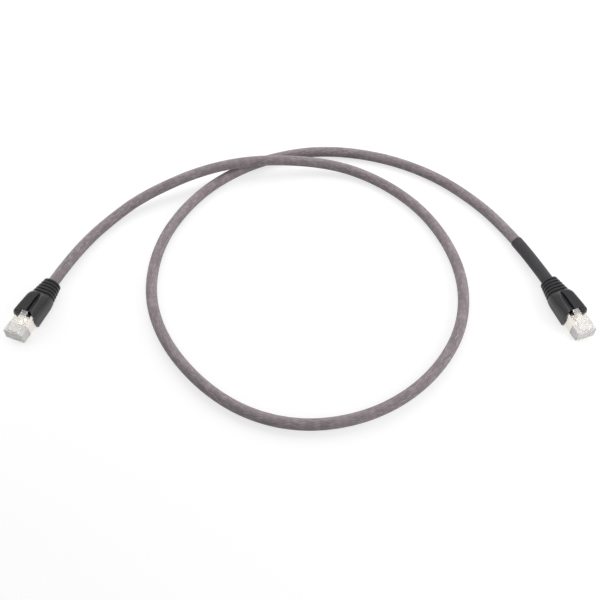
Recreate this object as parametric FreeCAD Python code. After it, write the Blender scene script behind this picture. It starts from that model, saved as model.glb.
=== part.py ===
import FreeCAD, Part
import math
import os

from FreeCAD import Placement, Rotation, Vector

# An ethernet patch cable, one metre long, lying in one loose loop on a flat surface.
# Millimetres. +X is the right side, +Y points away from the two plugs, +Z is up, z = 0 is the surface.
# The origin is the middle of the two plug ends' footprint.
# Each plug end has its own frame: x forward out of the plug, y to its left, z up,
# with its origin on the cable's axis at the boot's rear rim.

# The cable, from its outer braid inwards
cable_diameter = 6.2
braid_wall = 0.25
braid_clearance = 0.2
jacket_wall = 0.35
jacket_clearance = 0.2
screen_wall = 0.1
wire_clearance = 0.2
wire_diameter = 0.7
pair_clearance = 0.2
core_diameter = 0.38
core_clearance = 0.02
filler_clearance = 0.2

# The label sleeve, shrunk over the braid beside the right boot
label_wall = 0.3
label_clearance = 0.05
label_gap = 0.2
label_length = 33.8

# The boot
boot_length = 27.0
boot_height = 9.4
boot_rear_width = 10.2
boot_shoulder_width = 13.5
boot_front_width = 14.4
boot_shoulder_corner = 4.0
boot_flare_corner = 3.2
boot_front_corner = 2.4
boot_flare_length = 4.6
boot_bore_clearance = 0.05
boot_plug_clearance = 0.05
boot_step_clearance = 0.3
rib_count = 5
rib_pitch = 2.04
rib_width = 1.35
rib_depth = 0.75
rim_flat = 0.05
valley_setback = 0.6
valley_rear_half = 0.5
valley_rear_depth = 0.3
valley_front_half = 2.6
valley_bed_share = 0.4
valley_overlap = 0.1
valley_roof = 0.4
mouth_length = 2.5
mouth_rear_half = 2.3
mouth_web = 0.3
chin_setback = 0.8

# The plug
plug_width = 11.68
plug_height = 6.6
plug_length = 21.5
nose_reach = 12.0
nose_chamfer = 0.45
nose_length = 6.2
contact_count = 8
contact_pitch = 1.02
cavity_wall = 1.0
cavity_roof = 0.6
nose_wall = 7.1

# The shield shell and its crimp tail
shell_wall = 0.3
shell_clearance = 0.02
tail_length = 4.3
tail_wall = 0.3
tail_slot = 1.2
wrap_wall = 0.2
wrap_clearance = 0.05
dimple_radius = 1.4
dimple_height = 0.2

# The contacts
contact_thickness = 0.35
contact_length = 4.4
contact_recess = 0.25
contact_setback = 1.2
contact_clearance = 0.05
contact_chamfer_length = 0.3
contact_chamfer_height = 0.35
prong_places = (0.25, 0.7)
prong_width = 0.5
prong_bite = 0.4
wire_row_height = 1.95
channel_clearance = 0.05
slot_top_clearance = 0.03
slot_web = 0.2

# The load bar that holds the wires in their row
bar_length = 4.0
bar_height = 2.4
bar_clearance = 0.1

# The latch
latch_width = 6.2
lever_width = 3.3
latch_thickness = 1.0
latch_length = 13.0
hook_height = 1.9
shoulder_setback = 8.4
hinge_setback = 1.0
bead_radius = 0.5
bead_clearance = 0.05
bead_drop = 0.35
latch_gap = 0.15
neck_width = 0.6
latch_rest_angle = 8.0
hook_nose_height = 0.55
hook_ramp_length = 1.0
lever_overlap = 1.0
lip_length = 1.1
lip_setback = 0.3
lip_height = 0.35
lip_rear_height = 0.2
tail_round = 0.8
tail_round_height = 0.45

# How far each layer of the cable reaches into a plug end
braid_setback = 0.8
screen_setback = 0.3
filler_setback = 1.0
wire_end_setback = 1.0

# How the wires fan out behind the load bar: a straight lead, then the drop, then the spread
bar_lead = 2.2
drop_length = 3.4
spread_length = 4.0

# The half turn of the wires inside the right boot, which brings the colours to the same pins
twist_start = 0.5
twist_end = 14.5
twist_steps = 6

# Where the plug ends lie, and how far each is turned outwards from straight at the viewer
left_rim = Vector(-137.75, 17.8, 0)
left_turn = -21.7
right_rim = Vector(139.9, 19.2, 0)
right_turn = 20.6

# The cable's route
straight_inside = 10.0
left_straight = 10.0
right_straight = 12.0
arc_share = 0.45
crossing_gap = 0.35
ramp_share = 0.38

# How far a cut reaches past the faces that it opens
past = 1.0

# Radii and heights that follow from these sizes
cable_radius = cable_diameter / 2
braid_bore = cable_radius - braid_wall
jacket_radius = braid_bore - braid_clearance
jacket_bore = jacket_radius - jacket_wall
screen_radius = jacket_bore - jacket_clearance
screen_bore = screen_radius - screen_wall
wire_radius = wire_diameter / 2
ring_radius = screen_bore - wire_clearance - wire_radius
filler_radius = ring_radius - wire_radius - filler_clearance
pair_half_angle = math.degrees(math.asin((wire_diameter + pair_clearance) / 2 / ring_radius))
axis_height = boot_height / 2
lying_height = cable_radius
crossing_height = cable_radius + cable_diameter + crossing_gap
ramp_height = lying_height + ramp_share * (crossing_height - lying_height)

# Stations along a plug end
nose_x = boot_length + nose_reach
plug_rear_x = nose_x - plug_length
body_rear_x = plug_rear_x + shell_wall + shell_clearance
shell_front_x = nose_x - nose_length - shell_clearance
cavity_front_x = nose_x - nose_wall
wire_end_x = nose_x - wire_end_setback
hinge_x = nose_x - hinge_setback
shoulder_x = nose_x - shoulder_setback
tail_end_x = plug_rear_x - tail_length
bar_front_x = cavity_front_x - bar_clearance
bar_rear_x = bar_front_x - bar_length
drop_end = bar_rear_x - bar_lead
drop_start = drop_end - drop_length
spread_start = drop_start - spread_length
jacket_reach = plug_rear_x - shell_clearance
tail_bore = jacket_radius + 2 * wrap_clearance + wrap_wall
tail_radius = tail_bore + tail_wall
braid_reach = tail_end_x - braid_setback
screen_reach = plug_rear_x - screen_setback
filler_reach = plug_rear_x - filler_setback

# Heights in a plug end, from the cable's axis
half_height = plug_height / 2
half_width = plug_width / 2
wire_row_z = wire_row_height - half_height
hinge_z = half_height - bead_drop
latch_under_z = half_height + latch_gap


class PlugEnd:
    """One end of the cable: where its frame lies in the model."""

    def __init__(self, side, rim, turn):
        self.side = side
        self.place = Placement(rim + Vector(0, 0, axis_height), Rotation(Vector(0, 0, 1), turn - 90))

    def at(self, x, y=0.0, z=0.0):
        return self.place.multVec(Vector(x, y, z))


left_end = PlugEnd("left", left_rim, left_turn)
right_end = PlugEnd("right", right_rim, right_turn)

route_points = [
    left_end.at(straight_inside),
    left_end.at(-left_straight),
    Vector(-123.4, 52.5, lying_height),
    Vector(-110.9, 70.0, lying_height),
    Vector(-93.8, 86.3, ramp_height),
    Vector(-59.8, 104.5, crossing_height),
    Vector(-25.4, 113.9, crossing_height),
    Vector(15.7, 115.6, ramp_height),
    Vector(44.9, 105.4, lying_height),
    Vector(70.7, 81.6, lying_height),
    Vector(86.4, 52.2, lying_height),
    Vector(92.9, 21.0, lying_height),
    Vector(88.9, -9.5, lying_height),
    Vector(74.9, -35.9, lying_height),
    Vector(54.0, -56.3, lying_height),
    Vector(28.9, -68.6, lying_height),
    Vector(0.4, -72.2, lying_height),
    Vector(-27.8, -64.5, lying_height),
    Vector(-52.9, -45.7, lying_height),
    Vector(-73.6, -18.0, lying_height),
    Vector(-83.9, 13.6, lying_height),
    Vector(-81.5, 49.6, lying_height),
    Vector(-67.5, 80.8, lying_height),
    Vector(-47.6, 104.0, lying_height),
    Vector(-21.1, 121.0, lying_height),
    Vector(13.3, 129.6, lying_height),
    Vector(50.8, 123.7, lying_height),
    Vector(83.4, 107.1, lying_height),
    Vector(108.5, 82.0, lying_height),
    Vector(124.0, 57.7, lying_height),
    right_end.at(-right_straight),
    right_end.at(straight_inside),
]


def direction(start, end):
    """The unit vector from one point to the next."""
    return (end - start).normalize()


def left_normal(start, end):
    """The unit vector to the left of a run, seen from above."""
    run = Vector(end.x - start.x, end.y - start.y, 0).normalize()
    return Vector(-run.y, run.x, 0)


def tangent_lengths(points):
    """How far from each corner its arc starts: a share of the shorter run beside it."""
    lengths = [0.0]
    for before, corner, after in zip(points, points[1:], points[2:]):
        shorter = min((corner - before).Length, (after - corner).Length)
        lengths.append(arc_share * shorter)
    lengths.append(0.0)
    return lengths


route_tangents = tangent_lengths(route_points)


def turn_angle(before, corner, after):
    """The turn at a corner, in radians."""
    return direction(before, corner).getAngle(direction(corner, after))


def shifted_route(side, rise):
    """The route moved to the left and up, with concentric bends: points and tangent lengths."""
    points = []
    tangents = []
    last = len(route_points) - 1
    for i, point in enumerate(route_points):
        before = left_normal(route_points[max(i - 1, 0)], route_points[max(i, 1)])
        after = left_normal(route_points[min(i, last - 1)], route_points[min(i + 1, last)])
        mitre = (before + after) * (1 / (1 + before.dot(after)))
        half_turn = math.atan2(before.cross(after).z, before.dot(after)) / 2
        points.append(point + mitre * side + Vector(0, 0, rise))
        tangents.append(max(route_tangents[i] - side * math.tan(half_turn), 0.0))
    return points, tangents


def path_wire(points, tangents):
    """Straight runs joined by tangent arcs."""
    edges = []
    start = points[0]
    for i in range(1, len(points) - 1):
        corner = points[i]
        arriving = direction(points[i - 1], corner)
        leaving = direction(corner, points[i + 1])
        half_turn = arriving.getAngle(leaving) / 2
        radius = tangents[i] / math.tan(half_turn)
        inwards = (leaving - arriving).normalize()
        arc_start = corner - arriving * tangents[i]
        arc_end = corner + leaving * tangents[i]
        arc_middle = corner + inwards * (radius / math.cos(half_turn) - radius)
        edges.append(Part.LineSegment(start, arc_start).toShape())
        edges.append(Part.Arc(arc_start, arc_middle, arc_end).toShape())
        start = arc_end
    edges.append(Part.LineSegment(start, points[-1]).toShape())
    return Part.Wire(edges)


def rod(path, radius):
    """A round solid along a path."""
    start = path.Edges[0].firstVertex().Point
    heading = path.Edges[0].tangentAt(path.Edges[0].FirstParameter)
    circle = Part.Wire([Part.makeCircle(radius, start, heading)])
    return path.makePipeShell([circle], True, False)


def hose(path, radius, bore):
    """A round tube along a path."""
    return rod(path, radius).cut(rod(path, bore))


def cable_path(left_reach, right_reach):
    """The route's middle line, from one reach into the left end to another into the right end."""
    points = list(route_points)
    points[0] = left_end.at(left_reach)
    points[-1] = right_end.at(right_reach)
    return path_wire(points, route_tangents)


def save(shape, name):
    """Write one node, and say how it came out."""
    solids = len(shape.Solids)
    print(f"{name:26s} solids {solids} valid {shape.isValid()} volume {shape.Volume:.2f}")
    shape.exportStep(f"parts/{name}.step")


# Sections and prisms in a plug end's frame


def rounded_section(x, half, bottom, top, radius):
    """A rectangle with round corners, square to x."""
    cut = radius * (1 - math.sqrt(0.5))
    right = half - radius
    low = bottom + radius
    high = top - radius
    corners = [
        ((-right, bottom), (right, bottom), (half - cut, bottom + cut)),
        ((half, low), (half, high), (half - cut, top - cut)),
        ((right, top), (-right, top), (cut - half, top - cut)),
        ((-half, high), (-half, low), (cut - half, bottom + cut)),
    ]
    edges = []
    for i, (start, end, bulge) in enumerate(corners):
        following = corners[(i + 1) % len(corners)][0]
        edges.append(Part.LineSegment(Vector(x, *start), Vector(x, *end)).toShape())
        edges.append(Part.Arc(Vector(x, *end), Vector(x, *bulge), Vector(x, *following)).toShape())
    return Part.Wire(edges)


def box(x, y, z):
    """A box from its (low, high) along each axis."""
    size = (x[1] - x[0], y[1] - y[0], z[1] - z[0])
    return Part.makeBox(*size, Vector(x[0], y[0], z[0]))


def side_prism(outline, half):
    """An outline of (x, z) points, as wide as twice the half width."""
    points = [Vector(x, -half, z) for x, z in outline]
    face = Part.Face(Part.makePolygon(points + points[:1]))
    return face.extrude(Vector(0, 2 * half, 0))


def plan_prism(outline, bottom, top):
    """An outline of (x, y) points, between two heights."""
    points = [Vector(x, y, bottom) for x, y in outline]
    face = Part.Face(Part.makePolygon(points + points[:1]))
    return face.extrude(Vector(0, 0, top - bottom))


def x_cylinder(radius, start, end, y=0.0, z=0.0):
    """A cylinder along x."""
    return Part.makeCylinder(radius, end - start, Vector(start, y, z), Vector(1, 0, 0))


def pin_y(pin):
    """How far to the left a pin lies: pin 1 is on the right, the latch being on top."""
    return (pin - (contact_count + 1) / 2) * contact_pitch


pins = range(1, contact_count + 1)


def valley_section(x, half, bed, lid):
    """The valley's outline at x: its half width at the top, its bed, and the height that the cut reaches."""
    bed_half = half * valley_bed_share
    right = [(-half, lid), (half, lid), (half, axis_height)]
    corners = right + [(bed_half, bed), (-bed_half, bed), (-half, axis_height)]
    return Part.makePolygon([Vector(x, y, z) for y, z in corners + corners[:1]])


def make_boot():
    """The moulded strain relief: ribs at the rear, a flared body with a valley between two shoulders."""
    rear_half = boot_rear_width / 2
    rear_corner = axis_height - rim_flat
    shoulder_half = boot_shoulder_width / 2
    front_half = boot_front_width / 2
    ribs_end = rib_count * rib_pitch
    flare_end = ribs_end + boot_flare_length
    cavity_half = half_width + boot_plug_clearance
    cavity_top = half_height + boot_plug_clearance
    step_x = plug_rear_x - boot_step_clearance

    def section(x, half, corner, inset=0.0):
        """The outside at x, or a section drawn in from it."""
        reach = axis_height - inset
        return rounded_section(x, half - inset, -reach, reach, corner - inset)

    def rib_section(x, inset=0.0):
        """The outside of the ribbed part, round at the rear rim and squarer at the shoulders."""
        share = x / ribs_end
        half = rear_half + (shoulder_half - rear_half) * share
        corner = rear_corner + (boot_shoulder_corner - rear_corner) * share
        return section(x, half, corner, inset)

    flare = Part.makeLoft([
        section(ribs_end, shoulder_half, boot_shoulder_corner),
        section((ribs_end + flare_end) / 2, (shoulder_half + 3 * front_half) / 4,
                (boot_shoulder_corner + boot_flare_corner) / 2),
        section(flare_end, front_half, boot_flare_corner),
    ], True, False)
    body = Part.makeLoft([
        section(flare_end, front_half, boot_flare_corner),
        section(boot_length, front_half, boot_front_corner),
    ], True, True)
    neck = Part.makeLoft([rib_section(0.0, rib_depth), rib_section(ribs_end, rib_depth)], True, True)
    boot = body.fuse(flare).fuse(neck)
    for i in range(rib_count):
        rib = Part.Face(rib_section(i * rib_pitch)).extrude(Vector(rib_width, 0, 0))
        boot = boot.fuse(rib)

    bore = cable_radius + boot_bore_clearance
    boot = boot.cut(x_cylinder(bore, -past, tail_end_x))
    tail_room = tail_radius + boot_plug_clearance
    boot = boot.cut(x_cylinder(tail_room, tail_end_x - boot_step_clearance, plug_rear_x))
    boot = boot.cut(box(
        (step_x, boot_length + past), (-cavity_half, cavity_half), (-cavity_top, cavity_top)))

    mouth_x = boot_length - mouth_length
    lid = axis_height + past
    boot = boot.cut(Part.makeLoft([
        valley_section(ribs_end + valley_setback, valley_rear_half, axis_height - valley_rear_depth, lid),
        valley_section(mouth_x + valley_overlap, valley_front_half, cavity_top + valley_roof, lid),
    ], True, True))
    mouth_front_half = cavity_half - mouth_web
    boot = boot.cut(plan_prism([
        (mouth_x, -mouth_rear_half),
        (boot_length, -mouth_front_half),
        (boot_length + past, -mouth_front_half),
        (boot_length + past, mouth_front_half),
        (boot_length, mouth_front_half),
        (mouth_x, mouth_rear_half),
    ], 0, lid))
    return boot.cut(side_prism([
        (boot_length, 0),
        (boot_length - chin_setback, -lid),
        (boot_length + past, -lid),
        (boot_length + past, 0),
    ], front_half + past))


def make_plug_body():
    """The clear body: a full-size nose, a smaller rear under the shell, wire channels and contact slots."""
    step = shell_wall + shell_clearance
    low = -half_height
    side_outline = [
        (body_rear_x, low + step),
        (nose_x - nose_length, low + step),
        (nose_x - nose_length, low),
        (nose_x - nose_chamfer, low),
        (nose_x, low + nose_chamfer),
        (nose_x, half_height - nose_chamfer),
        (nose_x - nose_chamfer, half_height),
        (nose_x - nose_length, half_height),
        (nose_x - nose_length, half_height - step),
        (body_rear_x, half_height - step),
    ]
    plan_half = [
        (body_rear_x, half_width - step),
        (nose_x - nose_length, half_width - step),
        (nose_x - nose_length, half_width),
        (nose_x - nose_chamfer, half_width),
        (nose_x, half_width - nose_chamfer),
    ]
    plan_outline = plan_half + [(x, -y) for x, y in reversed(plan_half)]
    body = side_prism(side_outline, half_width).common(plan_prism(plan_outline, low, half_height))

    cavity_half = half_width - step - cavity_wall
    cavity_top = half_height - step - cavity_roof
    body = body.cut(box(
        (body_rear_x - past, cavity_front_x), (-cavity_half, cavity_half), (-cavity_top, cavity_top)))

    channel = wire_radius + channel_clearance
    slot_half = contact_thickness / 2 + contact_clearance
    slot_rear = nose_x - contact_setback - contact_length - contact_clearance
    slot_top = wire_row_z - wire_radius + slot_top_clearance
    for pin in pins:
        y = pin_y(pin)
        body = body.cut(x_cylinder(
            channel, cavity_front_x - past, wire_end_x + channel_clearance, y, wire_row_z))
        sides = (y - slot_half, y + slot_half)
        body = body.cut(box((slot_rear, nose_x + past), sides, (low - past, slot_top - slot_web)))
        body = body.cut(box(
            (slot_rear, nose_x - contact_setback + contact_clearance), sides, (low - past, slot_top)))

    socket = Part.makeCylinder(
        bead_radius + bead_clearance, latch_width + 2 * bead_clearance,
        Vector(hinge_x, -latch_width / 2 - bead_clearance, hinge_z), Vector(0, 1, 0))
    return body.cut(socket)


def make_shell():
    """The folded metal shield round the plug's rear, with the tail that is crimped on the cable."""
    inner_half = half_width - shell_wall
    inner_top = half_height - shell_wall
    shell = box((plug_rear_x, shell_front_x), (-half_width, half_width), (-half_height, half_height))
    for side in (-1, 1):
        centre_x = (boot_length + shell_front_x) / 2
        sphere_radius = (dimple_radius ** 2 + dimple_height ** 2) / (2 * dimple_height)
        centre_y = side * (half_width + dimple_height - sphere_radius)
        ball = Part.makeSphere(sphere_radius, Vector(centre_x, centre_y, 0))
        cap = ball.common(box(
            (centre_x - dimple_radius, centre_x + dimple_radius),
            sorted((side * (half_width - shell_wall / 2), side * (half_width + past))),
            (-dimple_radius, dimple_radius),
        ))
        shell = shell.fuse(cap)
    shell = shell.cut(box(
        (plug_rear_x + shell_wall, shell_front_x + past), (-inner_half, inner_half), (-inner_top, inner_top)))
    tail = x_cylinder(tail_radius, tail_end_x, plug_rear_x + shell_wall / 2)
    shell = shell.fuse(tail)
    shell = shell.cut(x_cylinder(tail_bore, tail_end_x - past, plug_rear_x + shell_wall + past))
    return shell.cut(box(
        (tail_end_x - past, plug_rear_x), (-tail_slot / 2, tail_slot / 2), (0, tail_radius + past)))


def make_ground_wrap():
    """The screen folded back over the jacket, under the crimped tail."""
    bore = jacket_radius + wrap_clearance
    wrap = x_cylinder(bore + wrap_wall, tail_end_x, plug_rear_x)
    return wrap.cut(x_cylinder(bore, tail_end_x - past, plug_rear_x + past))


def make_contacts():
    """Eight blades, each with two prongs that pierce a wire from below."""
    front = nose_x - contact_setback
    rear = front - contact_length
    foot = contact_recess - half_height
    shelf = wire_row_z - wire_radius - contact_clearance
    tip = shelf + prong_bite
    outline = [
        (rear, foot),
        (front - contact_chamfer_length, foot),
        (front, foot + contact_chamfer_height),
        (front, shelf),
    ]
    for centre in prong_centres():
        outline.append((centre + prong_width / 2, shelf))
        outline.append((centre, tip))
        outline.append((centre - prong_width / 2, shelf))
    outline.append((rear, shelf))
    blade = side_prism(outline, contact_thickness / 2)
    blades = [blade.translated(Vector(0, pin_y(pin), 0)) for pin in pins]
    return Part.makeCompound(blades)


def prong_centres():
    """Where the two prongs stand along a blade, from the front one to the rear one."""
    front = nose_x - contact_setback
    return [front - contact_length * share for share in prong_places]


def make_load_bar():
    """The bar with eight holes that combs the wires into their row."""
    step = shell_wall + shell_clearance
    half = half_width - step - cavity_wall - bar_clearance
    low = step + cavity_roof + bar_clearance - half_height
    bar = box((bar_rear_x, bar_front_x), (-half, half), (low, low + bar_height))
    for pin in pins:
        hole = x_cylinder(
            wire_radius + channel_clearance, bar_rear_x - past, bar_front_x + past, pin_y(pin), wire_row_z)
        bar = bar.cut(hole)
    return bar


def make_latch():
    """The latch: a bead in the nose's socket, a wide hook with two shoulders, and a narrow lever."""
    under = latch_under_z
    bead = Part.makeCylinder(
        bead_radius, latch_width, Vector(hinge_x, -latch_width / 2, hinge_z), Vector(0, 1, 0))
    neck = box((hinge_x - neck_width / 2, hinge_x + neck_width / 2),
               (-latch_width / 2, latch_width / 2), (hinge_z, under + latch_thickness / 2))
    hook = side_prism([
        (hinge_x + neck_width / 2, under),
        (hinge_x + neck_width / 2, under + hook_nose_height),
        (hinge_x - neck_width / 2 - hook_ramp_length, under + latch_thickness),
        (shoulder_x, under + hook_height),
        (shoulder_x, under),
    ], latch_width / 2)
    tail_x = hinge_x - latch_length
    lever = side_prism([
        (shoulder_x + lever_overlap, under),
        (shoulder_x + lever_overlap, under + latch_thickness),
        (tail_x + lip_setback + lip_length, under + latch_thickness),
        (tail_x + lip_setback, under + latch_thickness + lip_height),
        (tail_x, under + latch_thickness + lip_rear_height),
        (tail_x, under + tail_round_height),
        (tail_x + tail_round, under),
    ], lever_width / 2)
    latch = bead.fuse(neck).fuse(hook).fuse(lever).removeSplitter()
    latch.rotate(Vector(hinge_x, 0, hinge_z), Vector(0, 1, 0), latch_rest_angle)
    return latch


# The wires, as (pin, colour, angle round the cable): 0 is the route's left, 90 is up.
wires = [
    (1, "white_orange", pair_half_angle),
    (2, "orange", -pair_half_angle),
    (3, "white_green", 90 - pair_half_angle),
    (4, "blue", -90 + pair_half_angle),
    (5, "white_blue", -90 - pair_half_angle),
    (6, "green", 90 + pair_half_angle),
    (7, "white_brown", 180 - pair_half_angle),
    (8, "brown", 180 + pair_half_angle),
]


def ring_place(angle):
    """How far to the left and up a wire lies in the cable."""
    radians = math.radians(angle)
    return ring_radius * math.cos(radians), ring_radius * math.sin(radians)


def wire_path(pin, angle):
    """From the left plug's nose through the cable to the same pin in the right plug."""
    side, rise = ring_place(angle)
    row_y = pin_y(pin)
    left_part = [
        left_end.at(wire_end_x, row_y, wire_row_z),
        left_end.at(drop_end, row_y, wire_row_z),
        left_end.at(drop_start, row_y, rise),
        left_end.at(spread_start, -side, rise),
    ]
    right_part = []
    for step in range(twist_steps + 1):
        share = step / twist_steps
        y, z = ring_place(angle + 180 * share)
        right_part.append(right_end.at(twist_start + (twist_end - twist_start) * share, y, z))
    right_part += [
        right_end.at(spread_start, -side, -rise),
        right_end.at(drop_start, row_y, -rise),
        right_end.at(drop_end, row_y, wire_row_z),
        right_end.at(wire_end_x, row_y, wire_row_z),
    ]
    middle, middle_tangents = shifted_route(side, rise)
    points = left_part + middle[1:-1] + right_part
    tangents = tangent_lengths(points)
    first = len(left_part)
    count = len(middle) - 2
    tangents[first:first + count] = middle_tangents[1:-1]
    return path_wire(points, tangents)


def prong_notches():
    """The slits that the contacts' prongs make in the wires, at both ends."""
    shelf = wire_row_z - wire_radius - contact_clearance
    notches = []
    for pin in pins:
        y = pin_y(pin)
        half = contact_thickness / 2 + contact_clearance / 2
        for centre in prong_centres():
            notch = box((centre - prong_width / 2, centre + prong_width / 2), (y - half, y + half),
                        (shelf - past, shelf + prong_bite + contact_clearance))
            notches.append(notch)
    group = Part.makeCompound(notches)
    placed = []
    for end in (left_end, right_end):
        copy = group.copy()
        copy.Placement = end.place
        placed.append(copy)
    return Part.makeCompound(placed)


def report_route():
    """Print the bends' radii and the tube's volume against its section times its length."""
    radii = []
    turns = []
    for i in range(1, len(route_points) - 1):
        turn = turn_angle(route_points[i - 1], route_points[i], route_points[i + 1])
        radii.append(route_tangents[i] / math.tan(turn / 2))
        turns.append(math.degrees(turn))
    print("bend radii", [round(radius, 1) for radius in radii])
    print("turns", [round(turn, 1) for turn in turns])
    path = cable_path(0.0, 0.0)
    tube = rod(path, cable_radius)
    section = math.pi * cable_radius ** 2
    print(f"free cable {path.Length:.1f} mm, volume {tube.Volume:.1f}, "
          f"section times length {section * path.Length:.1f}")


def first_stretch(path, length):
    """The first edges of a path, up to a length along it."""
    edges = []
    for edge in path.Edges:
        if edge.Length >= length:
            stop = edge.getParameterByLength(length)
            edges.append(edge.Curve.toShape(edge.FirstParameter, stop))
            break
        edges.append(edge)
        length -= edge.Length
    return Part.Wire(edges)


def make_label():
    """The plain black sleeve on the last stretch before the right boot."""
    points = [right_end.at(-label_gap)] + route_points[-2:-5:-1]
    tangents = [0.0] + route_tangents[-2:-4:-1] + [0.0]
    path = first_stretch(path_wire(points, tangents), label_length)
    bore = cable_radius + label_clearance
    return hose(path, bore + label_wall, bore)


def make_cable():
    """The cable's own layers, one node each."""
    save(hose(cable_path(braid_reach, braid_reach), cable_radius, braid_bore), "braided_sleeve")
    save(hose(cable_path(jacket_reach, jacket_reach), jacket_radius, jacket_bore), "cable_jacket")
    save(hose(cable_path(screen_reach, screen_reach), screen_radius, screen_bore), "screen_braid")
    save(rod(cable_path(filler_reach, filler_reach), filler_radius), "filler_cord")
    notches = prong_notches()
    cores = []
    for pin, colour, angle in wires:
        path = wire_path(pin, angle)
        core_bore = core_diameter / 2 + core_clearance
        insulation = rod(path, wire_radius).cut(rod(path, core_bore)).cut(notches)
        save(insulation, f"wire_{pin}_{colour}")
        cores.append(rod(path, core_diameter / 2).cut(notches))
    save(Part.makeCompound(cores), "conductor_cores")
    save(make_label(), "label_sleeve")


def make_plug_ends():
    """The pieces of one plug end, placed at both ends."""
    pieces = {
        "boot": make_boot(),
        "plug_body": make_plug_body(),
        "shield_shell": make_shell(),
        "ground_wrap": make_ground_wrap(),
        "contacts": make_contacts(),
        "load_bar": make_load_bar(),
        "latch": make_latch(),
    }
    for end in (left_end, right_end):
        for name, piece in pieces.items():
            placed = piece.copy()
            placed.Placement = end.place.multiply(piece.Placement)
            save(placed, f"{name}_{end.side}")


os.makedirs("parts", exist_ok=True)
report_route()
make_cable()
make_plug_ends()
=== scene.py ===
import math

import bmesh
import bpy
from mathutils import Matrix, Vector


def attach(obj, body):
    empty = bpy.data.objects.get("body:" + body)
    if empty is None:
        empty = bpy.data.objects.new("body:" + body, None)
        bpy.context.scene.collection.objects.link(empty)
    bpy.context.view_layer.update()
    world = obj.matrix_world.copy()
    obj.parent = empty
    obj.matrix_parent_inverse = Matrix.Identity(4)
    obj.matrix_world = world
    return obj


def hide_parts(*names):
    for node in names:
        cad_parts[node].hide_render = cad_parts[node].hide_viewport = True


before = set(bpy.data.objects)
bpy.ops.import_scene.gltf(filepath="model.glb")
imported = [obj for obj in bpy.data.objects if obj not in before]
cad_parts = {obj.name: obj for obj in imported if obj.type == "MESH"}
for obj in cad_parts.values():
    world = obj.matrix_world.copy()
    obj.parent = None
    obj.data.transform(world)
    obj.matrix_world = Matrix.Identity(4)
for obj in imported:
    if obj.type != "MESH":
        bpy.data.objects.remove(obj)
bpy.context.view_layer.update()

# An ethernet patch cable in a braided sleeve, with a shielded plug in a moulded boot at each end.
# Plug ends are worked out in millimetres, in their own frame: x forward out of the plug, y to its left,
# z up, origin on the cable's axis at the boot's rear rim. They are then put in place, in metres.

MM = 0.001

# The cable
cable_radius = 3.1
braid_bore = 2.85
jacket_radius = 2.65
jacket_bore = 2.3
screen_radius = 2.1
screen_bore = 2.0
label_radius = 3.45
label_bore = 3.15
label_gap = 0.2
label_length = 33.8
lying_height = cable_radius
crossing_height = 9.65
ramp_share = 0.38
ramp_height = lying_height + ramp_share * (crossing_height - lying_height)

# The braid: strands each way round, strand widths climbed in a metre, and how far they stand out
strand_count = 16.0
strand_rate = 283.0
braid_relief = 0.035

# The boot
boot_length = 27.0
axis_height = 4.7
rear_half = 5.1
shoulder_half = 6.75
front_half = 7.2
rim_corner = 4.65
shoulder_corner = 4.0
flare_corner = 3.2
front_corner = 2.4
flare_length = 4.6

# Its ribs
ribs_end = 10.2
rib_pitch = 2.04
rib_width = 1.15
rib_depth = 0.85
rib_softness = 0.3

# The two lobes on its top and the valley between them, whose foot is a share of the way to a crest
valley_start = 0.2
valley_run_in = 2.0
valley_rear_half = 0.5
valley_front_half = 5.2
valley_opening_power = 0.38
valley_bed = 3.7
valley_foot = 0.13
valley_foot_rise = 0.3
crest_rounding = 0.08
crest_sharpness = 9
lobe_rise = 2.3
lobe_run_in = 5.0

# Its mouth, which leaves room for the latch, and a thin black sheet in it: painted shade for the gap under
# the latch's tail
mouth_x = 24.5
mouth_rear_half = 2.3
mouth_front_half = 5.59
chin_setback = 0.8
shade_sheet_root = 0.3
shade_sheet_end = 26.8
shade_sheet_half = 3.0
shade_sheet_lift = 0.02
shade_sheet_thickness = 0.18

# Its hollow, for the cable, the shield's tail and the plug
cable_bore = 3.15
tail_bore = 3.4
hollow_slack = 0.3
plug_room = 0.05
hollow_corner = 0.6

# The plug
nose_x = 39.0
plug_rear_x = 17.5
half_width = 5.84
half_height = 3.3
nose_corner = 0.6
contact_count = 8
contact_pitch = 1.02
hinge_x = 38.0
hinge_z = 2.95

# Its shield
shell_front_x = 32.78
shell_wall = 0.3
shell_corner = 0.7
tail_end_x = 13.2
tail_radius = 3.35
dimple_radius = 1.4
dimple_height = 0.2

# How far a cutting shape reaches past what it cuts
past = 1.0


class PlugEnd:
    """One end of the cable: its boot's rim, and its turn in degrees from pointing straight to the front."""

    def __init__(self, side, rim, turn):
        self.side = side
        self.latch = f"latch_{side}"
        turned = Matrix.Rotation(math.radians(turn - 90), 4, "Z")
        rim_place = Vector((rim[0], rim[1], axis_height)) * MM
        self.place = Matrix.Translation(rim_place) @ turned @ Matrix.Scale(MM, 4)

    def at(self, x, y=0.0, z=0.0):
        """A place in this end's frame, in metres."""
        return self.place @ Vector((x, y, z))


left_end = PlugEnd("left", (-137.75, 17.8), -21.7)
right_end = PlugEnd("right", (139.9, 19.2), 20.6)
ends = (left_end, right_end)


def lying(x, y, height=lying_height):
    """A place of the route over the floor, in metres."""
    return Vector((x, y, height)) * MM


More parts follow.
